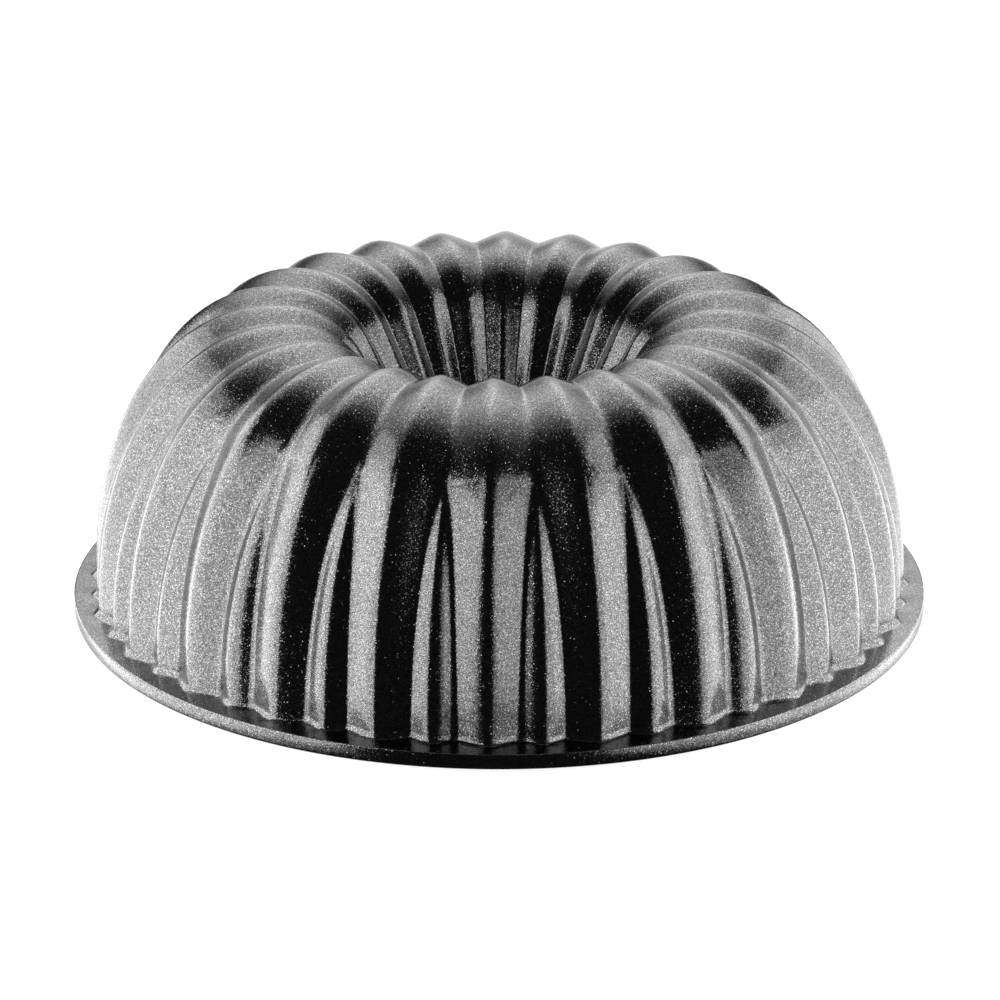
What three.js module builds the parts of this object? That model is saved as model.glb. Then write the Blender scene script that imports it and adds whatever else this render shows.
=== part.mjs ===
// Fluted ring cake mould, upside down on its rim with the crown on top.
// Millimetres, +Z up, origin at the centre of the rim's flat underside.
import * as THREE from 'three';
import { mergeVertices } from 'three/addons/utils/BufferGeometryUtils.js';

// Body
const BODY_RADIUS = 129.4; // ridges of the wall where it meets the rim
const BODY_HEIGHT = 96.8; // rest face to the top of the crown
const CREST_RADIUS = 69.3; // circle that runs along the top of the crown
const WALL = 3.2; // cast wall
const RIDGE_POWER = 2.14; // squareness of the wall's bulge along a ridge
const VALLEY_POWER = 2; // the same along a valley

// Rim
const FLANGE_WIDTH = 6.4; // rim beyond the ridges
const RIM_THICKNESS = 4.9;
const RIM_EDGE = 0.5; // bevel on the rim's upper edge
const FOOT_FILLET = 2.2; // between the wall and the rim

// Centre tube
const BEND_RADIUS = 29.5; // roll of the crown's ridges in towards the tube
const TUBE_RADIUS = 30.4; // its ridges at its top, where the funnel from the crown ends
const TUBE_TOP_HEIGHT = 57; // rest face to that place
const TUBE_MOUTH_RADIUS = 27.8; // its ridges at the open end
const TUBE_END_GAP = 3; // rest face to the tube's open end

// Flutes: main ridges run over the crown and down the tube, small ones stay on the wall between them
const RIDGE_COUNT = 24;
const WALL_FLUTE_DEPTH = 4;
const CROWN_FLUTE_DEPTH = 3.3;
const TUBE_FLUTE_DEPTH = 1.5;
const SMALL_RIDGE_DROP = 0.8; // small ridges are this much lower at the rim
const SMALL_RIDGE_SHARE = 0.4; // their share of the pitch at the rim
const SMALL_RIDGE_TOP = THREE.MathUtils.degToRad(55); // turn along the bulge where they run out
const SMALL_RIDGE_ARCH = 1.8; // roundness of their pointed outline
const SMALL_RIDGE_SWELL = 2.5; // how much faster they lose height than width on the way up
const RIDGE_FLAT = 2.4; // width of a main ridge's blunt nose at the rim
const CROWN_RIDGE_FLAT = 5; // the same on the crown
const TUBE_RIDGE_FLAT = 1.8; // the same in the tube
const SMALL_RIDGE_FLAT = 2;

// Coating on each side of the casting
const COAT = 0.06;

// Steps along a ridge
const LOWER_STEPS = 5;
const UPPER_STEPS = 3;
const BEND_STEPS = 5;

const PITCH = (2 * Math.PI) / RIDGE_COUNT;
const QUARTER_TURN = Math.PI / 2;
const FRONT = -QUARTER_TURN; // a main ridge faces -Y
const RIM_RADIUS = BODY_RADIUS + FLANGE_WIDTH;
const SAME_PLACE = 1e-4; // corners closer than this are one

// The funnel is straight and leaves the bend as a tangent.
const FUNNEL_WIDTH = CREST_RADIUS - TUBE_RADIUS;
const BEND = Math.min(BEND_RADIUS, FUNNEL_WIDTH);
const BEND_CENTRE = BODY_HEIGHT - BEND;
const FUNNEL_DROP = BEND_CENTRE - TUBE_TOP_HEIGHT;
const BEND_TURN = Math.atan2(FUNNEL_DROP, FUNNEL_WIDTH) + Math.asin(BEND / Math.hypot(FUNNEL_WIDTH, FUNNEL_DROP));

const mix = THREE.MathUtils.lerp;

// Radius and height on the wall's bulge, from the rim (turn 0) to the crest (a quarter turn).
function bulgePoint(turn, depth, power, offset) {
  const reach = BODY_RADIUS - CREST_RADIUS - depth.wall + offset;
  const rise = BODY_HEIGHT - RIM_THICKNESS - depth.crown + offset;
  return {
    radius: CREST_RADIUS + reach * Math.cos(turn) ** (2 / power),
    height: RIM_THICKNESS + rise * Math.sin(turn) ** (2 / power),
  };
}

// Radius and height on the bend, from the crest (turn 0) to where the funnel leaves it.
function bendPoint(turn, depth, offset) {
  const inwards = (BEND * Math.sin(turn)) / FUNNEL_WIDTH;
  const arm = BEND - mix(depth.crown, depth.tube, inwards) + offset;
  return {
    radius: CREST_RADIUS - arm * Math.sin(turn),
    height: BEND_CENTRE + arm * Math.cos(turn),
  };
}

const ON_RIDGE = { wall: 0, crown: 0, tube: 0 };
const IN_VALLEY = { wall: WALL_FLUTE_DEPTH, crown: CROWN_FLUTE_DEPTH, tube: TUBE_FLUTE_DEPTH };

// One pitch of a ring: blunt nose of a main ridge, valley, nose of a small ridge, next valley.
function pitchColumns(ridge, valley, small, valleyAngle, ridgeFlat, smallFlat) {
  const ridgeHalf = ridgeFlat / 2 / ridge.radius;
  const smallHalf = smallFlat / 2 / small.radius;
  return [
    { ...ridge, angle: -ridgeHalf },
    { ...ridge, angle: ridgeHalf },
    { ...valley, angle: valleyAngle },
    { ...small, angle: PITCH / 2 - smallHalf },
    { ...small, angle: PITCH / 2 + smallHalf },
    { ...valley, angle: PITCH - valleyAngle },
  ];
}

// Ring on the wall. Blunt noses belong to the outer side, the inner side has plain folds.
function bulgeRing(turn, offset, blunt) {
  const ridge = bulgePoint(turn, ON_RIDGE, RIDGE_POWER, offset);
  const valley = bulgePoint(turn, IN_VALLEY, VALLEY_POWER, offset);
  const climb = Math.min(1, turn / SMALL_RIDGE_TOP);
  const arch = (1 - climb ** SMALL_RIDGE_ARCH) ** (1 / SMALL_RIDGE_ARCH);
  const swell = arch ** SMALL_RIDGE_SWELL * (1 - SMALL_RIDGE_DROP / WALL_FLUTE_DEPTH);
  const small = {
    radius: mix(valley.radius, ridge.radius, swell),
    height: mix(valley.height, ridge.height, swell),
  };
  const valleyAngle = (PITCH / 2) * (1 - SMALL_RIDGE_SHARE * arch);
  const ridgeFlat = blunt * mix(RIDGE_FLAT, CROWN_RIDGE_FLAT, turn / QUARTER_TURN);
  return pitchColumns(ridge, valley, small, valleyAngle, ridgeFlat, blunt * SMALL_RIDGE_FLAT * arch);
}

// Ring on the bend, where only the main ridges are left.
function bendRing(turn, offset, blunt) {
  const ridge = bendPoint(turn, ON_RIDGE, offset);
  const valley = bendPoint(turn, IN_VALLEY, offset);
  const ridgeFlat = blunt * mix(CROWN_RIDGE_FLAT, TUBE_RIDGE_FLAT, turn / QUARTER_TURN);
  return pitchColumns(ridge, valley, valley, PITCH / 2, ridgeFlat, 0);
}

// Ring of the tube, at its top or its open end.
function tubeRing(radius, height, offset, blunt) {
  const ridge = { radius: radius - offset, height };
  const valley = { radius: ridge.radius + TUBE_FLUTE_DEPTH, height };
  return pitchColumns(ridge, valley, valley, PITCH / 2, blunt * TUBE_RIDGE_FLAT, 0);
}

// Plain round ring of the rim, with three corners to a pitch.
function rimRing(radius, height) {
  return [0, 0, 1, 1, 2, 2].map((third) => ({ radius, height, angle: (third * PITCH) / 3 }));
}

// The same ring at another height, spread outwards by a flare.
function atHeight(ring, height, flare = 0) {
  return ring.map((corner) => ({ ...corner, height, radius: corner.radius + flare }));
}

// Rings from the wall's foot over the crown to the tube's open end.
function flutedRings(offset, blunt) {
  const rings = [];
  for (let step = 0; step <= LOWER_STEPS; step += 1) {
    rings.push(bulgeRing((SMALL_RIDGE_TOP * step) / LOWER_STEPS, offset, blunt));
  }
  for (let step = 1; step <= UPPER_STEPS; step += 1) {
    rings.push(bulgeRing(mix(SMALL_RIDGE_TOP, QUARTER_TURN, step / UPPER_STEPS), offset, blunt));
  }
  for (let step = 1; step <= BEND_STEPS; step += 1) {
    rings.push(bendRing((BEND_TURN * step) / BEND_STEPS, offset, blunt));
  }
  rings.push(tubeRing(TUBE_RADIUS, TUBE_TOP_HEIGHT, offset, blunt));
  rings.push(tubeRing(TUBE_MOUTH_RADIUS, TUBE_END_GAP, offset, blunt));
  return rings;
}

// Outer side, from the rim's lower edge to the tube's open end, lifted by an offset.
function outerSide(offset) {
  const rimTop = RIM_THICKNESS + offset;
  const [wallFoot, ...wall] = flutedRings(offset, 1);
  return [
    rimRing(RIM_RADIUS + offset, 0),
    rimRing(RIM_RADIUS + offset, RIM_THICKNESS - RIM_EDGE),
    rimRing(RIM_RADIUS - RIM_EDGE, rimTop),
    atHeight(wallFoot, rimTop, FOOT_FILLET),
    atHeight(wallFoot, rimTop + FOOT_FILLET),
    ...wall,
  ];
}

// Inner side, from the rest face to the tube's open end, sunk by a depth.
function innerSide(depth) {
  const rings = flutedRings(-depth, 0);
  return [atHeight(rings[0], 0), ...rings];
}

// Closed solid between two sides whose rings run the same way, joined at both ends.
function shellBetween(outside, inside) {
  const rings = [...outside, ...inside];
  const columns = outside[0].length;
  const around = RIDGE_COUNT * columns;
  const positions = [];
  rings.forEach((ring) => {
    for (let place = 0; place < around; place += 1) {
      const corner = ring[place % columns];
      const angle = FRONT + Math.floor(place / columns) * PITCH + corner.angle;
      positions.push(corner.radius * Math.cos(angle), corner.radius * Math.sin(angle), corner.height);
    }
  });

  const faces = [];
  const strip = (lower, upper, turned) => {
    for (let place = 0; place < around; place += 1) {
      const next = (place + 1) % around;
      const [a, b] = [lower * around + place, lower * around + next];
      const [c, d] = [upper * around + next, upper * around + place];
      faces.push(...(turned ? [a, c, b, a, d, c] : [a, b, c, a, c, d]));
    }
  };
  const firstInside = outside.length;
  for (let ring = 1; ring < rings.length; ring += 1) {
    if (ring !== firstInside) {
      strip(ring - 1, ring, ring > firstInside);
    }
  }
  strip(firstInside - 1, rings.length - 1, false);
  strip(firstInside, 0, false);

  const loose = new THREE.BufferGeometry();
  loose.setAttribute('position', new THREE.Float32BufferAttribute(positions, 3));
  loose.setIndex(faces);
  return withoutSlivers(mergeVertices(loose, SAME_PLACE));
}

// Drops the triangles that shrank to a line where columns of a ring meet.
function withoutSlivers(geometry) {
  const corners = geometry.getIndex().array;
  const kept = [];
  for (let face = 0; face < corners.length; face += 3) {
    const [a, b, c] = corners.slice(face, face + 3);
    if (a !== b && b !== c && c !== a) {
      kept.push(a, b, c);
    }
  }
  geometry.setIndex(kept);
  geometry.computeVertexNormals();
  return geometry;
}

function piece(name, geometry, finish) {
  const mesh = new THREE.Mesh(geometry, new THREE.MeshStandardMaterial(finish));
  mesh.name = name;
  return mesh;
}

// One aluminium casting: rim, fluted wall, crown and centre tube.
function mouldCasting() {
  const finish = { color: 0xb9bbbd, roughness: 0.45, metalness: 1 };
  return piece('mould_casting', shellBetween(outerSide(0), innerSide(WALL)), finish);
}

// Speckled stone-effect lacquer on the outside of the casting.
function exteriorCoat() {
  const finish = { color: 0x161616, roughness: 0.22, metalness: 0 };
  return piece('exterior_stone_coat', shellBetween(outerSide(COAT), outerSide(0)), finish);
}

// Non-stick layer on the side that holds the batter.
function interiorCoat() {
  const finish = { color: 0x1c1c1c, roughness: 0.35, metalness: 0 };
  return piece('interior_nonstick_coat', shellBetween(innerSide(WALL), innerSide(WALL + COAT)), finish);
}

const cakeMould = new THREE.Group();
cakeMould.add(mouldCasting(), exteriorCoat(), interiorCoat());

export default cakeMould;
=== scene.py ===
"""Fluted ring cake mould standing on its rim, dressed over its frame for the studio render."""

import logging
import math
from dataclasses import dataclass, field
from enum import Enum
from typing import Any, Iterable

import bmesh
import bpy
from mathutils import Matrix, Vector


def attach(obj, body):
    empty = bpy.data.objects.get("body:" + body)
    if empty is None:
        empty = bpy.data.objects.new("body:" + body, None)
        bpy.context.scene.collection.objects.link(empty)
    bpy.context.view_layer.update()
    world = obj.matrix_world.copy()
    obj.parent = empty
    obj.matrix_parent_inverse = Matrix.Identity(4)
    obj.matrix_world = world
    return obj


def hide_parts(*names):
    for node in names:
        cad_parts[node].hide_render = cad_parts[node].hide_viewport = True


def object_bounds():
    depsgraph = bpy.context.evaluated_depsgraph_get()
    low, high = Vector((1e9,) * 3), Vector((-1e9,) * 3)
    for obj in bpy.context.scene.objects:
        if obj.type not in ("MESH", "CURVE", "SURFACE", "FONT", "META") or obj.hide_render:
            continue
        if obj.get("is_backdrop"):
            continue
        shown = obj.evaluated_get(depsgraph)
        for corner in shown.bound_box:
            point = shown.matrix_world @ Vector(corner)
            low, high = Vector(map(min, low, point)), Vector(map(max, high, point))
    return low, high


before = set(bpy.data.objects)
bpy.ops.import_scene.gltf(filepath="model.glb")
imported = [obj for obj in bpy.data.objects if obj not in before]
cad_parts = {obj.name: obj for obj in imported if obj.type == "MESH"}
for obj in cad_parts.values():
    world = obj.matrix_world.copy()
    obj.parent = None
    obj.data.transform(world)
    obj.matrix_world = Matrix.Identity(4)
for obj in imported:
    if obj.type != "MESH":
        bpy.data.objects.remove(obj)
CAD_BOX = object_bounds()

log = logging.getLogger("cake_mould")

MM = 0.001
QUARTER_TURN = math.pi / 2
BODY = "root"
SENSOR_WIDTH = 36.0
WHITE = "#ffffff"

# A ridge less wide or deep than this, in millimetres, is flat.
FLAT_RIDGE = 1e-6
# Largest nose of a ridge as a share of its reach squared over its depth; at 0.5 the flanks are upright.
NOSE_LIMIT = 0.32
# Corners across a nose: how many times its half width they reach, and where they lie on the way.
NOSE_SPREAD = 2.2
NOSE_SHARES = (0.0, 0.25, 0.55, 1.0)
# Most of a flank that a nose or a fillet takes up, on a main ridge and on a small one.
MAIN_FLANK_SHARE = 0.4
SMALL_FLANK_SHARE = 0.5
# Rows of the wall: below and above the small ridges' tops, on the bend, the funnel and the tube.
SMALL_RIDGE_ROWS = 20
# Above 1 the rows crowd where the small ridges run out.
ROW_CROWDING = 1.5
CREST_ROWS = 9
BEND_ROWS = 12
FUNNEL_SHARES = (0.1, 0.35, 0.65, 0.9, 1.0)
TUBE_SHARES = (0.05, 0.33, 0.66)
TUBE_END_ROWS = 2
EDGE_ROWS = 4
# Gaps, in metres, under which corners are joined at the mirror plane and at the seams of the turn.
MIRROR_GAP = 1e-7
SEAM_GAP = 4e-6
# A wave texture has 20 radians of wave to a unit at scale 1, so this over a spacing is its scale.
WAVE_SCALE = 0.314


def mix(low: float, high: float, share: float) -> float:
    """Blend two numbers.

    Args:
        low: Value at share 0.
        high: Value at share 1.
        share: Place between them.

    Returns:
        The value at that place.
    """
    return low + (high - low) * share


def linear(code: str) -> tuple[float, float, float, float]:
    """Turn an sRGB hex colour into the linear colour that a shader takes.

    Args:
        code: Six hex digits after a hash.

    Returns:
        Red, green, blue and alpha.
    """
    parts = [int(code[place:place + 2], 16) / 255 for place in (1, 3, 5)]
    red, green, blue = (
        part / 12.92 if part <= 0.04045 else ((part + 0.055) / 1.055) ** 2.4 for part in parts
    )
    return red, green, blue, 1.0


def add_node(
    tree: bpy.types.NodeTree, kind: str, links: dict[Any, Any] | None = None, **settings: Any
) -> bpy.types.Node:
    """Add a node to a tree, set it up and link it.

    Args:
        tree: Node tree that takes the node.
        kind: Blender's name of the node.
        links: Input name or number to an output socket that feeds it, or to the value it holds.
        **settings: Properties of the node itself.

    Returns:
        The new node.
    """
    node = tree.nodes.new(kind)
    for name, value in settings.items():
        setattr(node, name, value)
    for name, source in (links or {}).items():
        if isinstance(source, bpy.types.NodeSocket):
            tree.links.new(source, node.inputs[name])
        else:
            node.inputs[name].default_value = source
    return node


class Side(Enum):
    """The two faces of the cast wall."""

    OUTSIDE = "outside"
    INSIDE = "inside"


@dataclass(frozen=True)
class Station:
    """One ring of the fluted wall: where its ridges and valleys lie, in millimetres.

    Attributes:
        ridge: Radius and height of a main ridge's nose.
        valley: Radius and height of a valley.
        arch: How far the small ridge stands, from 0 where it has run out to 1 at the rim.
        nose: Radius of a main ridge's rounded nose.
        fillet: Depth over which the flanks of two ridges run into each other.
    """

    ridge: tuple[float, float]
    valley: tuple[float, float]
    arch: float
    nose: float
    fillet: float


@dataclass(frozen=True)
class Ridge:
    """Section across one ridge: a round nose that runs out into two straight flanks.

    Attributes:
        slope: Steepness of the flanks.
        bend: Half the width of the nose.
    """

    slope: float
    bend: float

    @classmethod
    def fitted(cls, nose: float, reach: float, deep: float) -> "Ridge":
        """Make the ridge that has a given nose and drops to a given depth.

        Args:
            nose: Radius of the nose.
            reach: Distance from the ridge's middle to the valley.
            deep: Depth of the valley below the nose.

        Returns:
            The ridge.
        """
        if reach < FLAT_RIDGE or deep < FLAT_RIDGE:
            return cls(0.0, 0.0)
        nose = min(nose, NOSE_LIMIT * reach * reach / deep)
        slope = deep / math.sqrt(reach * reach - 2 * deep * nose)
        return cls(slope, slope * nose)

    def drop(self, away: float) -> float:
        """Depth of the section at a place across the ridge.

        Args:
            away: Distance from the ridge's middle.

        Returns:
            The depth below the nose.
        """
        return self.slope * (math.hypot(away, self.bend) - self.bend)


def joined(one: float, other: float, fillet: float) -> float:
    """Lesser of two depths, with the corner between them rounded.

    Args:
        one: Depth of one flank.
        other: Depth of the other.
        fillet: Difference at which the rounding starts.

    Returns:
        The depth of the two together.
    """
    near = max(fillet - abs(one - other), 0.0)
    return min(one, other) - near * near / (4 * fillet)


@dataclass(frozen=True)
class Fluting:
    """The fluted form of the mould, in millimetres: wall, crown and centre tube.

    Attributes:
        ridge_count: Number of main ridges.
        body_radius: Radius of the main ridges at the rim.
        body_height: Height of the main ridges at the crest.
        crest_radius: Radius of the crest.
        rim_radius: Radius of the rim.
        rim_thickness: Thickness of the rim.
        rim_edge: Rounding of the rim's upper edge.
        rim_lower_edge: Rounding of its lower edge.
        foot_fillet: Fillet between the rim and the wall.
        bend_radius: Radius of the crown's roll towards the centre.
        tube_radius: Radius of the tube's ridges at its top.
        tube_top: Height at which the tube starts.
        tube_mouth_radius: Radius of the tube's ridges at its open end.
        tube_end_gap: Height of the open end above the table.
        tube_end_round: Rounding of the open end.
        wall: Thickness of the casting.
        coat: Thickness of each coat.
        ridge_power: Exponent of the ridges' bulge, where 2 is an ellipse.
        valley_power: Exponent of the valleys' bulge.
        wall_depth: Depth of the valleys at the rim.
        crown_depth: Depth of the valleys at the crest.
        tube_depth: Depth of the valleys in the tube.
        small_drop: How far the small ridges stand back from the main ones at the rim.
        small_share: Share of half a pitch that half a small ridge takes up at the rim.
        small_top: Turn along the bulge at which the small ridges have run out.
        small_arch: Exponent of the small ridges' pointed outline.
        small_swell: How fast the small ridges lose height on the way up.
        wall_nose: Radius of the main ridges' noses at the rim.
        crown_nose: The same at the crest.
        tube_nose: The same in the tube.
        small_nose: Radius of the small ridges' noses at the rim.
        fold_nose: Radius of the noses on the inside.
        wall_fillet: Depth over which two flanks run into each other at the rim.
        crown_fillet: The same at the crest.
        tube_fillet: The same in the tube.
        fold_fillet: The same on the inside.
    """

    ridge_count: int = 24
    body_radius: float = 129.4
    body_height: float = 96.8
    crest_radius: float = 69.3
    rim_radius: float = 135.8
    rim_thickness: float = 4.9
    rim_edge: float = 0.5
    rim_lower_edge: float = 1.0
    foot_fillet: float = 2.2
    bend_radius: float = 29.5
    tube_radius: float = 30.4
    tube_top: float = 57.0
    tube_mouth_radius: float = 27.8
    tube_end_gap: float = 3.0
    tube_end_round: float = 0.8
    wall: float = 3.2
    coat: float = 0.06
    ridge_power: float = 2.14
    valley_power: float = 2.0
    wall_depth: float = 4.0
    crown_depth: float = 3.3
    tube_depth: float = 1.5
    small_drop: float = 0.8
    small_share: float = 0.4
    small_top: float = math.radians(55)
    small_arch: float = 1.8
    small_swell: float = 2.5
    wall_nose: float = 2.7
    crown_nose: float = 4.0
    tube_nose: float = 3.6
    small_nose: float = 3.6
    fold_nose: float = 0.8
    wall_fillet: float = 1.7
    crown_fillet: float = 0.3
    tube_fillet: float = 0.2
    fold_fillet: float = 0.3

    @property
    def pitch(self) -> float:
        """Angle between main ridges.

        Returns:
            The angle from one main ridge to the next.
        """
        return 2 * math.pi / self.ridge_count

    @property
    def bend_turn(self) -> float:
        """Length of the bend.

        Returns:
            The angle along it at which the straight funnel down to the tube leaves it.
        """
        width = self.crest_radius - self.tube_radius
        drop = self.body_height - self.bend_radius - self.tube_top
        return math.atan2(drop, width) + math.asin(self.bend_radius / math.hypot(width, drop))

    def on_bulge(self, turn: float, offset: float) -> Station:
        """Ring on the wall's bulge.

        Args:
            turn: Angle along the bulge, from 0 at the rim to a quarter turn at the crest.
            offset: Distance out from the casting's outer face.

        Returns:
            The ring's station.
        """
        reach = self.body_radius - self.crest_radius + offset
        rise = self.body_height - self.rim_thickness + offset
        across, up = max(math.cos(turn), 0.0), math.sin(turn)
        ridge = (
            self.crest_radius + reach * across ** (2 / self.ridge_power),
            self.rim_thickness + rise * up ** (2 / self.ridge_power),
        )
        valley = (
            self.crest_radius + (reach - self.wall_depth) * across ** (2 / self.valley_power),
            self.rim_thickness + (rise - self.crown_depth) * up ** (2 / self.valley_power),
        )
        climb = min(1.0, turn / self.small_top)
        arch = (1 - climb ** self.small_arch) ** (1 / self.small_arch)
        share = turn / QUARTER_TURN
        nose = mix(self.wall_nose, self.crown_nose, share)
        return Station(ridge, valley, arch, nose, mix(self.wall_fillet, self.crown_fillet, share ** 3))

    def on_bend(self, turn: float, offset: float) -> Station:
        """Ring on the bend from the crest towards the tube.

        Args:
            turn: Angle along the bend, from 0 at the crest to where the funnel leaves it.
            offset: Distance out from the casting's outer face.

        Returns:
            The ring's station.
        """
        across, up = math.sin(turn), math.cos(turn)
        inwards = self.bend_radius * across / (self.crest_radius - self.tube_radius)
        centre = self.body_height - self.bend_radius
        arm = self.bend_radius + offset
        ridge = (self.crest_radius - arm * across, centre + arm * up)
        arm -= mix(self.crown_depth, self.tube_depth, inwards)
        valley = (self.crest_radius - arm * across, centre + arm * up)
        nose = mix(self.crown_nose, self.tube_nose, inwards)
        return Station(ridge, valley, 0.0, nose, mix(self.crown_fillet, self.tube_fillet, inwards))

    def on_funnel(self, drop: float, offset: float) -> Station:
        """Ring on the straight funnel between the bend and the tube.

        Args:
            drop: Share of the way down the funnel.
            offset: Distance out from the casting's outer face.

        Returns:
            The ring's station.
        """
        top, foot = self.on_bend(self.bend_turn, offset), self.in_tube(0.0, offset)
        ridge = (mix(top.ridge[0], foot.ridge[0], drop), mix(top.ridge[1], foot.ridge[1], drop))
        valley = (mix(top.valley[0], foot.valley[0], drop), mix(top.valley[1], foot.valley[1], drop))
        return Station(
            ridge, valley, 0.0, mix(top.nose, foot.nose, drop), mix(top.fillet, foot.fillet, drop)
        )

    def in_tube(self, drop: float, offset: float, pull: float = 0.0) -> Station:
        """Ring in the tube.

        Args:
            drop: Share of the way from the tube's top down to the open end.
            offset: Distance out from the casting's outer face.
            pull: How far the ring draws back into the wall, for the rounded end.

        Returns:
            The ring's station.
        """
        radius = mix(self.tube_radius, self.tube_mouth_radius, drop) - offset + pull
        height = mix(self.tube_top, self.tube_end_gap, drop)
        valley = (radius + self.tube_depth, height)
        return Station((radius, height), valley, 0.0, self.tube_nose, self.tube_fillet)

    def section(self, station: Station, side: Side) -> list[tuple[float, float, float]]:
        """Corners across half a pitch, from the nose of a main ridge to the nose of a small one.

        Args:
            station: The ring.
            side: Face of the wall; the inside has tighter noses.

        Returns:
            Radius, angle and height of each corner.
        """
        deep = math.dist(station.ridge, station.valley)
        half = station.valley[0] * self.pitch / 2
        spare = half * self.small_share * station.arch
        reach = half - spare
        rise = deep * (1 - self.small_drop / self.wall_depth) * station.arch ** self.small_swell
        nose, small_nose, fillet = self.fold_nose, self.fold_nose, self.fold_fillet
        if side is Side.OUTSIDE:
            nose, small_nose, fillet = station.nose, self.small_nose, station.fillet
        main = Ridge.fitted(nose, reach, deep)
        small = Ridge.fitted(small_nose * station.arch, spare, rise)
        blend = fillet / (main.slope + small.slope)
        left = reach - min(blend, MAIN_FLANK_SHARE * reach)
        right = reach + min(blend, SMALL_FLANK_SHARE * spare)
        main_end = min(NOSE_SPREAD * main.bend, MAIN_FLANK_SHARE * left)
        small_end = min(NOSE_SPREAD * small.bend, SMALL_FLANK_SHARE * (half - right))
        places = [main_end * share for share in NOSE_SHARES]
        places += [(main_end + left) / 2, left, (left + reach) / 2, reach, (reach + right) / 2, right]
        places += [(right + half - small_end) / 2]
        places += [half - small_end * share for share in reversed(NOSE_SHARES)]
        placed = []
        for along in places:
            depth = joined(main.drop(along), main.drop(2 * half - along), fillet)
            depth = joined(depth, deep - rise + small.drop(half - along), fillet)
            share = depth / deep
            placed.append((
                mix(station.ridge[0], station.valley[0], share),
                along / station.valley[0],
                mix(station.ridge[1], station.valley[1], share),
            ))
        return placed

    def wall_rows(self, offset: float, side: Side) -> list[list[tuple[float, float, float]]]:
        """Rows from the wall's foot over the crown to the tube's open end.

        Args:
            offset: Distance out from the casting's outer face.
            side: Face of the wall.

        Returns:
            The corners of each row.
        """
        stations = [self.on_bulge(0.0, offset)]
        for step in range(1, SMALL_RIDGE_ROWS + 1):
            left = (1 - step / SMALL_RIDGE_ROWS) ** ROW_CROWDING
            stations.append(self.on_bulge(self.small_top * (1 - left), offset))
        for step in range(1, CREST_ROWS + 1):
            turn = mix(self.small_top, QUARTER_TURN, step / CREST_ROWS)
            stations.append(self.on_bulge(turn, offset))
        for step in range(1, BEND_ROWS + 1):
            stations.append(self.on_bend(self.bend_turn * step / BEND_ROWS, offset))
        for share in FUNNEL_SHARES:
            stations.append(self.on_funnel(share, offset))
        round_share = self.tube_end_round / (self.tube_top - self.tube_end_gap)
        for share in (*TUBE_SHARES, 1 - round_share):
            stations.append(self.in_tube(share, offset))
        inward = 1 if side is Side.OUTSIDE else -1
        for step in range(1, TUBE_END_ROWS + 1):
            angle = QUARTER_TURN * step / TUBE_END_ROWS
            pull = inward * self.tube_end_round * (1 - math.cos(angle))
            stations.append(self.in_tube(1 - round_share * (1 - math.sin(angle)), offset, pull))
        return [self.section(station, side) for station in stations]

    def outer_rows(self, offset: float) -> list[list[tuple[float, float, float]]]:
        """Rows of the outer face, from the rim's lower edge to the tube's open end.

        Args:
            offset: Distance out from the casting's outer face.

        Returns:
            The corners of each row.
        """
        foot, *wall = self.wall_rows(offset, Side.OUTSIDE)
        rim_top = self.rim_thickness + offset
        outline = []
        for step in range(EDGE_ROWS + 1):
            angle = QUARTER_TURN * step / EDGE_ROWS
            outline.append((
                self.rim_radius + offset - self.rim_lower_edge * (1 - math.sin(angle)),
                self.rim_lower_edge * (1 - math.cos(angle)),
            ))
        edge = self.rim_edge + offset
        for step in range(EDGE_ROWS + 1):
            angle = QUARTER_TURN * step / EDGE_ROWS
            outline.append((
                self.rim_radius - self.rim_edge + edge * math.cos(angle),
                self.rim_thickness - self.rim_edge + edge * math.sin(angle),
            ))
        rows = [[(radius, angle, height) for _, angle, _ in foot] for radius, height in outline]
        for step in range(EDGE_ROWS + 1):
            angle = QUARTER_TURN * step / EDGE_ROWS
            flare = self.foot_fillet * (1 - math.sin(angle))
            height = rim_top + self.foot_fillet * (1 - math.cos(angle))
            rows.append([(radius + flare, turn, height) for radius, turn, _ in foot])
        fillet_top = rim_top + self.foot_fillet
        wall = [
            row for row in wall
            if row[0][0] < self.crest_radius or min(corner[2] for corner in row) > fillet_top
        ]
        return rows + wall

    def inner_rows(self, offset: float) -> list[list[tuple[float, float, float]]]:
        """Rows of the face that holds the batter, from the rest face to the tube's open end.

        Args:
            offset: Distance out from the casting's outer face, so a negative one.

        Returns:
            The corners of each row.
        """
        foot, *wall = self.wall_rows(offset, Side.INSIDE)
        return [[(radius, angle, 0.0) for radius, angle, _ in foot], foot, *wall]


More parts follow.
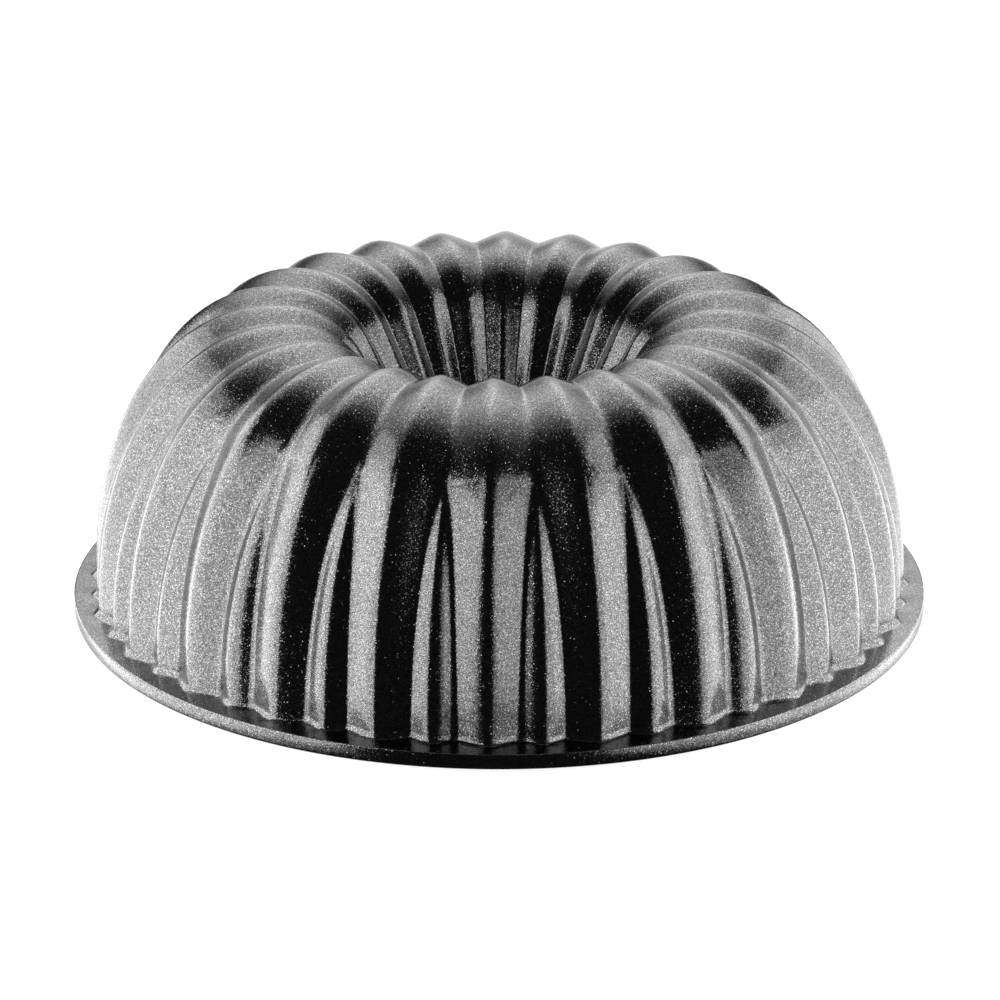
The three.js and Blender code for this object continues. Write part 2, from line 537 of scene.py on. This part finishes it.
@dataclass
class Shell:
    """A closed skin of the mould between two faces.

    Attributes:
        name: Name of the finished piece.
        node: CAD node that it stands for.
        slot: Material slot in the record; not used.
        outside: Rows of the face that looks out.
        inside: Rows of the face behind it.
    """

    name: str
    node: str
    slot: str
    outside: list[list[tuple[float, float, float]]]
    inside: list[list[tuple[float, float, float]]]

    def build(self, pitch: float, count: int) -> bpy.types.Object:
        """Model half a pitch as a grid, mirror it and turn it round the axis.

        Args:
            pitch: Angle from one main ridge to the next.
            count: Number of main ridges.

        Returns:
            The finished piece, without a material.
        """
        loop = [*self.outside, *reversed(self.inside), self.outside[0]]
        columns, rows = len(loop[0]) - 1, len(loop) - 1
        shell = bmesh.new()
        grid = bmesh.ops.create_grid(shell, x_segments=columns, y_segments=rows, size=0.5)
        for vertex in grid["verts"]:
            row = loop[round((vertex.co.y + 0.5) * rows)]
            radius, angle, height = row[round((vertex.co.x + 0.5) * columns)]
            vertex.co = Vector((radius * math.sin(angle), -radius * math.cos(angle), height)) * MM
        whole = shell.verts[:] + shell.edges[:] + shell.faces[:]
        bmesh.ops.mirror(shell, geom=whole, matrix=Matrix.Identity(4), merge_dist=MIRROR_GAP, axis="X")
        whole = shell.verts[:] + shell.edges[:] + shell.faces[:]
        bmesh.ops.spin(
            shell, geom=whole, cent=(0, 0, 0), axis=(0, 0, 1), dvec=(0, 0, 0),
            angle=pitch * (count - 1), steps=count - 1, use_duplicate=True,
        )
        bmesh.ops.remove_doubles(shell, verts=shell.verts[:], dist=SEAM_GAP)
        bmesh.ops.recalc_face_normals(shell, faces=shell.faces[:])
        for face in shell.faces:
            face.smooth = True
        mesh = bpy.data.meshes.new(self.name)
        shell.to_mesh(mesh)
        shell.free()
        piece = bpy.data.objects.new(self.name, mesh)
        bpy.context.scene.collection.objects.link(piece)
        return piece

    def dress(self, piece: bpy.types.Object, material: bpy.types.Material) -> None:
        """Give the piece its material and its place on the frame.

        Args:
            piece: The finished piece.
            material: Its material.
        """
        piece.data.materials.append(material)
        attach(piece, BODY)
        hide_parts(self.node)


@dataclass(frozen=True)
class StoneLacquer:
    """Black stone-effect lacquer, sprayed and baked: a clear black gloss full of fine pale flakes.

    The gloss mirrors the lamps, and the flakes, which lie almost flat, glint one by one. The flakes are
    drawn coarser than the real ones, so that they still show at the size of the photograph.

    Attributes:
        name: Name of the material.
        ground: Colour of the lacquer.
        dim_flake: Colour of the dullest flakes.
        bright_flake: Colour of the brightest flakes.
        roughness: Roughness of the gloss.
        flake_size: Spacing of the flakes, in millimetres.
        flake_share: Share of the flakes that show.
        small_lean: How far most flakes lean out of the surface.
        large_lean: How far the few wildest lean.
        tone_power: Above 1 most flakes are dull.
        lean_power: Above 1 few flakes lean far.
        refraction: Refractive index of the lacquer.
        reflection: Level of its mirror reflection, where 0.5 is plain.
    """

    name: str = "black_stone_lacquer"
    ground: str = "#060606"
    dim_flake: str = "#2b2b2b"
    bright_flake: str = "#949494"
    roughness: float = 0.13
    flake_size: float = 0.22
    flake_share: float = 0.55
    small_lean: float = 0.15
    large_lean: float = 0.7
    tone_power: float = 2.0
    lean_power: float = 8.0
    refraction: float = 1.5
    reflection: float = 1.0

    def material(self) -> bpy.types.Material:
        """Build the lacquer's node tree.

        Returns:
            The material.
        """
        made = bpy.data.materials.new(self.name)
        made.use_nodes = True
        tree = made.node_tree
        tree.nodes.clear()
        place = add_node(tree, "ShaderNodeTexCoord").outputs["Object"]
        cells = add_node(
            tree, "ShaderNodeTexVoronoi", {"Vector": place, "Scale": 1 / (self.flake_size * MM)}
        )
        chance = add_node(tree, "ShaderNodeSeparateColor", {"Color": cells.outputs["Color"]})
        shows = add_node(
            tree, "ShaderNodeMath",
            {0: chance.outputs["Red"], 1: 1 - self.flake_share}, operation="GREATER_THAN",
        )
        tone = add_node(
            tree, "ShaderNodeMath", {0: chance.outputs["Green"], 1: self.tone_power}, operation="POWER"
        )
        flake = add_node(
            tree, "ShaderNodeMix",
            {"Factor": tone.outputs["Value"], "A": linear(self.dim_flake), "B": linear(self.bright_flake)},
            data_type="RGBA",
        )
        colour = add_node(
            tree, "ShaderNodeMix",
            {"Factor": shows.outputs["Value"], "A": linear(self.ground), "B": flake.outputs["Result"]},
            data_type="RGBA",
        )
        noise = add_node(tree, "ShaderNodeTexWhiteNoise", {"Vector": cells.outputs["Position"]})
        centred = add_node(
            tree, "ShaderNodeVectorMath",
            {0: noise.outputs["Color"], 1: (0.5, 0.5, 0.5)}, operation="SUBTRACT",
        )
        wild = add_node(
            tree, "ShaderNodeMath", {0: chance.outputs["Blue"], 1: self.lean_power}, operation="POWER"
        )
        lean = add_node(
            tree, "ShaderNodeMapRange",
            {"Value": wild.outputs["Value"], "To Min": self.small_lean, "To Max": self.large_lean},
        )
        amount = add_node(
            tree, "ShaderNodeMath",
            {0: shows.outputs["Value"], 1: lean.outputs["Result"]}, operation="MULTIPLY",
        )
        leaning = add_node(
            tree, "ShaderNodeVectorMath",
            {0: centred.outputs["Vector"], "Scale": amount.outputs["Value"]}, operation="SCALE",
        )
        surface = add_node(tree, "ShaderNodeNewGeometry").outputs["Normal"]
        tipped = add_node(
            tree, "ShaderNodeVectorMath", {0: surface, 1: leaning.outputs["Vector"]}, operation="ADD"
        )
        facing = add_node(tree, "ShaderNodeVectorMath", {0: tipped.outputs["Vector"]}, operation="NORMALIZE")
        shader = add_node(
            tree, "ShaderNodeBsdfPrincipled",
            {
                "Base Color": colour.outputs["Result"],
                "Metallic": shows.outputs["Value"],
                "Roughness": self.roughness,
                "IOR": self.refraction,
                "Specular IOR Level": self.reflection,
                "Normal": facing.outputs["Vector"],
            },
        )
        add_node(tree, "ShaderNodeOutputMaterial", {"Surface": shader.outputs["BSDF"]})
        return made


@dataclass(frozen=True)
class CastAluminium:
    """Die-cast aluminium, ground flat on the rest face: satin grey with fine rings from the tool.

    Attributes:
        name: Name of the material.
        dark: Colour of its darker grains.
        pale: Colour of its paler grains.
        ring_spacing: Distance from one tool ring to the next, in millimetres.
        ring_waver: How unevenly the rings run.
        ring_height: Height of the rings, in millimetres.
        ring_strength: Strength of their relief.
        grains_per_mm: Number of the largest grains to a millimetre.
        grain_detail: Number of finer layers of grain.
        smooth: Roughness of the smoothest grains.
        rough: Roughness of the roughest grains.
    """

    name: str = "ground_cast_aluminium"
    dark: str = "#a9abad"
    pale: str = "#bcbec0"
    ring_spacing: float = 0.5
    ring_waver: float = 0.4
    ring_height: float = 0.02
    ring_strength: float = 0.15
    grains_per_mm: float = 0.9
    grain_detail: float = 4.0
    smooth: float = 0.3
    rough: float = 0.5

    def material(self) -> bpy.types.Material:
        """Build the metal's node tree.

        Returns:
            The material.
        """
        made = bpy.data.materials.new(self.name)
        made.use_nodes = True
        tree = made.node_tree
        tree.nodes.clear()
        place = add_node(tree, "ShaderNodeTexCoord").outputs["Object"]
        rings = add_node(
            tree, "ShaderNodeTexWave",
            {"Vector": place, "Scale": WAVE_SCALE / (self.ring_spacing * MM), "Distortion": self.ring_waver},
            wave_type="RINGS", rings_direction="Z",
        )
        grain = add_node(
            tree, "ShaderNodeTexNoise",
            {"Vector": place, "Scale": self.grains_per_mm / MM, "Detail": self.grain_detail},
        )
        tint = add_node(
            tree, "ShaderNodeMix",
            {"Factor": grain.outputs["Fac"], "A": linear(self.dark), "B": linear(self.pale)},
            data_type="RGBA",
        )
        rough = add_node(
            tree, "ShaderNodeMapRange",
            {"Value": grain.outputs["Fac"], "To Min": self.smooth, "To Max": self.rough},
        )
        relief = add_node(
            tree, "ShaderNodeBump",
            {
                "Height": rings.outputs["Fac"],
                "Strength": self.ring_strength,
                "Distance": self.ring_height * MM,
            },
        )
        shader = add_node(
            tree, "ShaderNodeBsdfPrincipled",
            {
                "Base Color": tint.outputs["Result"],
                "Metallic": 1.0,
                "Roughness": rough.outputs["Result"],
                "Normal": relief.outputs["Normal"],
            },
        )
        add_node(tree, "ShaderNodeOutputMaterial", {"Surface": shader.outputs["BSDF"]})
        return made


@dataclass
class CakeMould:
    """The whole mould: one casting with a coat on each side.

    Attributes:
        form: The fluted form.
        lining: Finish of the inside, duller than the outside and with fewer flakes.
    """

    form: Fluting = field(default_factory=Fluting)
    lining: StoneLacquer = StoneLacquer(name="black_nonstick_lining", roughness=0.3, flake_share=0.2)

    def shells(self) -> list[tuple[Shell, bpy.types.Material]]:
        """List the three shells with their materials.

        Returns:
            Each shell and its material.
        """
        form = self.form
        outer, inner = form.outer_rows(0.0), form.inner_rows(-form.wall)
        coat_face = form.outer_rows(form.coat)
        lining_face = form.inner_rows(-form.wall - form.coat)
        body = Shell("cast_body", "mould_casting", "cast_aluminium", outer, inner)
        coat = Shell("stone_coat", "exterior_stone_coat", "stone_coat", coat_face, outer)
        lining = Shell("nonstick_lining", "interior_nonstick_coat", "nonstick_coat", inner, lining_face)
        return [
            (body, CastAluminium().material()),
            (coat, StoneLacquer().material()),
            (lining, self.lining.material()),
        ]

    def make(self) -> Iterable[bpy.types.Object]:
        """Build and dress every shell.

        Returns:
            The finished pieces in turn.
        """
        for shell, material in self.shells():
            piece = shell.build(self.form.pitch, self.form.ridge_count)
            shell.dress(piece, material)
            yield piece


@dataclass(frozen=True)
class Softbox:
    """An upright soft panel beside the mould, in metres.

    Attributes:
        name: Name of the lamp.
        azimuth: Direction of its plane, in degrees from the camera's side, positive to the right.
        distance: Distance of its plane from the mould's axis.
        ahead: How far it reaches towards the camera.
        behind: How far it reaches away from the camera.
        low: Height of its lower edge above the table; below 0 the gloss sees it through the floor.
        high: Height of its upper edge above the table.
        radiance: Brightness of its face, where 1 is white paper.
    """

    name: str
    azimuth: float
    distance: float
    ahead: float
    behind: float
    low: float
    high: float
    radiance: float

    def hang(self, turn: float) -> None:
        """Put the lamp in the scene.

        Args:
            turn: Direction of the camera, from which the azimuth counts.
        """
        data = bpy.data.lights.new(self.name, "AREA")
        data.shape = "RECTANGLE"
        data.size = self.behind + self.ahead
        data.size_y = self.high - self.low
        data.energy = self.radiance * math.pi * data.size * data.size_y
        lamp = bpy.data.objects.new(self.name, data)
        facing = turn + math.radians(self.azimuth)
        away = towards(facing, 0.0)
        back = towards(facing + math.copysign(QUARTER_TURN, self.azimuth), 0.0)
        lamp.location = away * self.distance + back * (self.behind - self.ahead) / 2
        lamp.location.z = (self.low + self.high) / 2
        lamp.rotation_euler = away.to_track_quat("Z", "Y").to_euler()
        lamp.visible_camera = False
        bpy.context.scene.collection.objects.link(lamp)


def towards(azimuth: float, elevation: float) -> Vector:
    """Direction from the mould.

    Args:
        azimuth: Angle from the front, positive to the right.
        elevation: Angle above the table.

    Returns:
        Unit vector.
    """
    level = math.cos(elevation)
    return Vector((math.sin(azimuth) * level, -math.cos(azimuth) * level, math.sin(elevation)))


@dataclass(frozen=True)
class Ramp:
    """A soft step along one part of a direction.

    Attributes:
        start: Where it starts.
        stop: Where it ends.
        first: Its value up to the start.
        last: Its value past the end.
    """

    start: float
    stop: float
    first: float
    last: float


@dataclass
class Studio:
    """Pale floor, soft panels at the sides, a surround that is lit behind, and the photograph's camera.

    Attributes:
        camera_turn: Angle of the camera from the front.
        camera_height: Angle of the camera above the table.
        camera_distance: Distance of the camera from its aim, in metres.
        aim: Point that the camera looks at.
        lens: Focal length, in millimetres.
        shift: Sideways shift of the picture.
        back_depth: Light behind, from the front to the back of the surround.
        back_width: The same light, from the middle to the sides.
        back_rise: The same light, from the table up.
        low_depth: Low light behind, from the front to the back.
        table_edge: Low light below the horizon, where the gloss sees a pale table.
        glow_width: Low light straight behind, from the middle to the sides.
        front_light: Light from everywhere.
        floor_radius: Radius of the floor, in metres.
        floor_sides: Number of sides of the floor.
        floor_gap: How far the floor lies under the rim, in metres.
        floor_colour: Colour of the floor.
        floor_roughness: Roughness of the floor.
        floor_glow: Glow that makes it white to the camera.
        softboxes: The panels.
    """

    camera_turn: float = math.radians(1.54)
    camera_height: float = math.radians(21.425)
    camera_distance: float = 1.4739
    aim: Vector = field(default_factory=lambda: Vector((0, 0, 0.03207)))
    lens: float = 166.58
    shift: float = 0.0008
    back_depth: Ramp = Ramp(-0.02, 0.65, 0.0, 1.0)
    back_width: Ramp = Ramp(0.3, 0.8, 1.0, 0.0)
    back_rise: Ramp = Ramp(0.15, 0.65, 0.06, 2.75)
    low_depth: Ramp = Ramp(0.1, 0.6, 0.0, 1.0)
    table_edge: Ramp = Ramp(-0.14, -0.03, 0.95, 0.0)
    glow_width: Ramp = Ramp(0.1, 0.34, 0.95, 0.0)
    front_light: float = 0.03
    floor_radius: float = 4.0
    floor_sides: int = 96
    floor_gap: float = 0.0002
    floor_colour: str = "#8c8c8c"
    floor_roughness: float = 0.6
    floor_glow: float = 0.85
    softboxes: tuple[Softbox, ...] = (
        Softbox("left_panel_edge", -75, 0.19, 0.20, 0.30, -0.07, 0.19, 0.9),
        Softbox("left_panel", -75, 0.185, 0.18, 0.26, -0.04, 0.175, 2.6),
        Softbox("left_panel_front_top", -75, 0.185, 0.18, -0.12, 0.175, 0.27, 2.6),
        Softbox("left_panel_rear_top", -75, 0.185, 0.03, 0.26, 0.175, 0.23, 2.0),
        Softbox("left_panel_core", -75, 0.18, 0.10, 0.05, -0.03, 0.14, 1.2),
        Softbox("right_panel_edge", 80, 0.19, 0.30, 0.30, -0.07, 0.18, 1.1),
        Softbox("right_panel", 80, 0.185, 0.25, 0.26, -0.04, 0.16, 1.6),
        Softbox("right_panel_front_top", 80, 0.185, 0.25, -0.125, 0.16, 0.26, 1.6),
        Softbox("right_panel_rear_top", 80, 0.185, 0.04, 0.26, 0.16, 0.24, 2.1),
        Softbox("right_panel_core", 80, 0.18, 0.14, 0.05, -0.03, 0.13, 1.4),
    )

    def camera(self) -> None:
        """Set up the camera at the photograph's angle."""
        data = bpy.data.cameras.new("camera")
        data.lens = self.lens
        data.sensor_width = SENSOR_WIDTH
        data.shift_x = self.shift
        seen = bpy.data.objects.new("camera", data)
        away = towards(self.camera_turn, self.camera_height)
        seen.location = self.aim + away * self.camera_distance
        seen.rotation_euler = away.to_track_quat("Z", "Y").to_euler()
        bpy.context.scene.collection.objects.link(seen)
        bpy.context.scene.camera = seen

    @staticmethod
    def ramps(tree: bpy.types.NodeTree, *steps: tuple[bpy.types.NodeSocket, Ramp]) -> Any:
        """Multiply soft ramps together.

        Args:
            tree: Node tree that takes them.
            *steps: Socket that drives a ramp, and the ramp.

        Returns:
            The socket of the product.
        """
        product = 1.0
        for socket, ramp in steps:
            step = add_node(
                tree, "ShaderNodeMapRange",
                {
                    "Value": socket,
                    "From Min": ramp.start,
                    "From Max": ramp.stop,
                    "To Min": ramp.first,
                    "To Max": ramp.last,
                },
                interpolation_type="SMOOTHSTEP",
            )
            product = add_node(
                tree, "ShaderNodeMath", {0: product, 1: step.outputs["Result"]}, operation="MULTIPLY"
            ).outputs["Value"]
        return product

    def world(self) -> None:
        """White surround for the camera; for the mould a soft light behind it, and dark in front.

        What the gloss sees behind is brightest high up, with a dark gap to both sides above the table.
        """
        world = bpy.data.worlds.new("surround")
        bpy.context.scene.world = world
        world.use_nodes = True
        tree = world.node_tree
        tree.nodes.clear()
        way = add_node(tree, "ShaderNodeTexCoord").outputs["Generated"]
        parts = add_node(tree, "ShaderNodeSeparateXYZ", {"Vector": way}).outputs
        back, up = parts["Y"], parts["Z"]
        aside = add_node(tree, "ShaderNodeMath", {0: parts["X"]}, operation="ABSOLUTE").outputs["Value"]
        behind = self.ramps(
            tree, (back, self.back_depth), (aside, self.back_width), (up, self.back_rise)
        )
        table = self.ramps(tree, (back, self.low_depth), (up, self.table_edge))
        glow = self.ramps(tree, (back, self.low_depth), (aside, self.glow_width))
        low = add_node(tree, "ShaderNodeMath", {0: glow, 1: table}, operation="MAXIMUM")
        rear = add_node(
            tree, "ShaderNodeMath", {0: behind, 1: low.outputs["Value"]}, operation="ADD"
        )
        around = add_node(
            tree, "ShaderNodeMath", {0: rear.outputs["Value"], 1: self.front_light}, operation="ADD"
        )
        path = add_node(tree, "ShaderNodeLightPath")
        through = add_node(
            tree, "ShaderNodeMath",
            {0: path.outputs["Is Camera Ray"], 1: path.outputs["Is Transmission Ray"]}, operation="MAXIMUM",
        )
        seen = add_node(
            tree, "ShaderNodeMix",
            {"Factor": through.outputs["Value"], "A": around.outputs["Value"], "B": 1.0},
        )
        light = add_node(
            tree, "ShaderNodeBackground", {"Color": linear(WHITE), "Strength": seen.outputs["Result"]}
        )
        add_node(tree, "ShaderNodeOutputWorld", {"Surface": light.outputs["Background"]})

    def floor(self) -> None:
        """Lay the pale floor, which is clear to the mould's gloss as a glass table is."""
        disc = bmesh.new()
        bmesh.ops.create_circle(
            disc, cap_ends=True, segments=self.floor_sides, radius=self.floor_radius
        )
        mesh = bpy.data.meshes.new("floor")
        disc.to_mesh(mesh)
        disc.free()
        ground = bpy.data.objects.new("floor", mesh)
        ground.location.z = -self.floor_gap
        bpy.context.scene.collection.objects.link(ground)
        made = bpy.data.materials.new("pale_floor")
        made.use_nodes = True
        tree = made.node_tree
        tree.nodes.clear()
        path = add_node(tree, "ShaderNodeLightPath")
        glow = add_node(
            tree, "ShaderNodeMath",
            {0: path.outputs["Is Camera Ray"], 1: self.floor_glow}, operation="MULTIPLY",
        )
        paper = add_node(
            tree, "ShaderNodeBsdfPrincipled",
            {
                "Base Color": linear(self.floor_colour),
                "Roughness": self.floor_roughness,
                "Emission Color": linear(WHITE),
                "Emission Strength": glow.outputs["Value"],
            },
        )
        clear = add_node(tree, "ShaderNodeBsdfTransparent")
        seen = add_node(
            tree, "ShaderNodeMixShader",
            {0: path.outputs["Is Glossy Ray"], 1: paper.outputs["BSDF"], 2: clear.outputs["BSDF"]},
        )
        add_node(tree, "ShaderNodeOutputMaterial", {"Surface": seen.outputs["Shader"]})
        mesh.materials.append(made)
        ground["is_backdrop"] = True

    def build(self) -> None:
        """Set the whole studio up."""
        self.camera()
        for softbox in self.softboxes:
            softbox.hang(self.camera_turn)
        self.world()
        self.floor()
        bpy.context.scene.view_settings.view_transform = "Standard"


def main() -> None:
    """Build the mould and the studio, and log how many faces each piece has."""
    logging.basicConfig(level=logging.INFO, format="%(message)s")
    Studio().build()
    for piece in CakeMould().make():
        log.info("%s: %d faces", piece.name, len(piece.data.polygons))
    boxes = {"cad": CAD_BOX, "visual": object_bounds()}
    {name: [list(corner) for corner in box] for name, box in boxes.items()}


if __name__ == "__main__":
    main()
